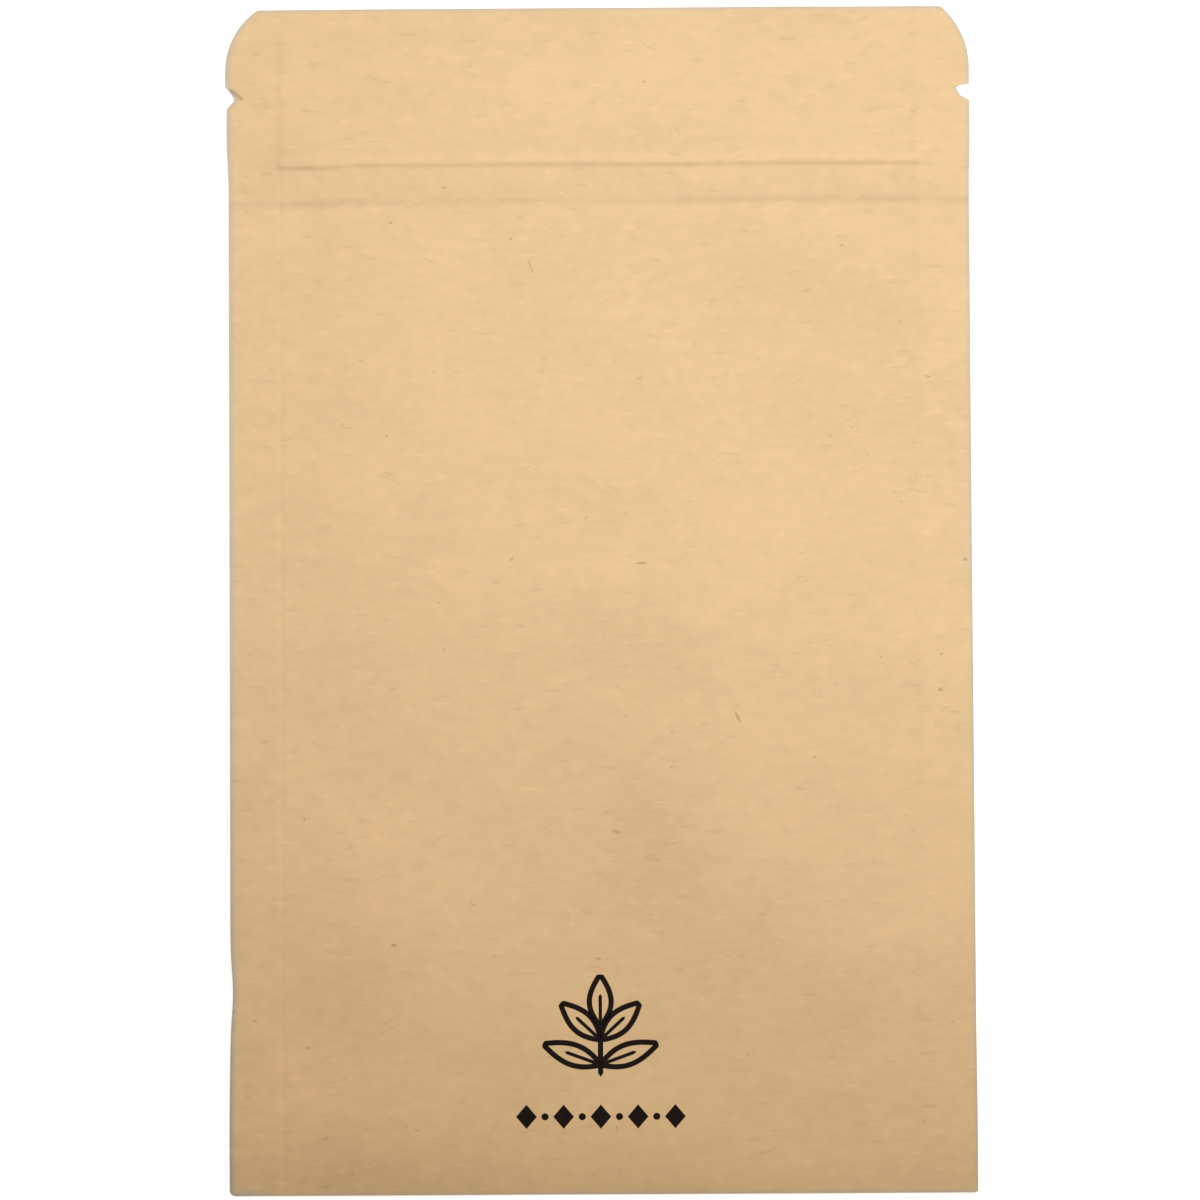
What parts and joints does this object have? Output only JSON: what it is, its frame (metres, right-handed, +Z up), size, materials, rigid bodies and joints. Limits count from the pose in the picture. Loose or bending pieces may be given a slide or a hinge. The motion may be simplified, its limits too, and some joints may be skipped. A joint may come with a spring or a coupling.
{
  "type": "paper zip pouch",
  "caption": "Flat brown paper pouch for dry food, empty and shut: sealed sides, rounded mouth corners, tear notches and a press-to-close zip band, lying on its back.",
  "frame": {"origin": "on the table under the middle of the pouch, at the bottom centre of its box", "axes": "+X across the pouch, to the right as its front is seen; +Y along it, towards the mouth; +Z up, out of the front face"},
  "size_m": [0.1272, 0.202, 0.0029],
  "materials": {
    "brown_paper": "matte",
    "ink": "matte"
  },
  "bodies": {
    "root": {"pouch": "brown_paper"}
  },
  "joints": []
}
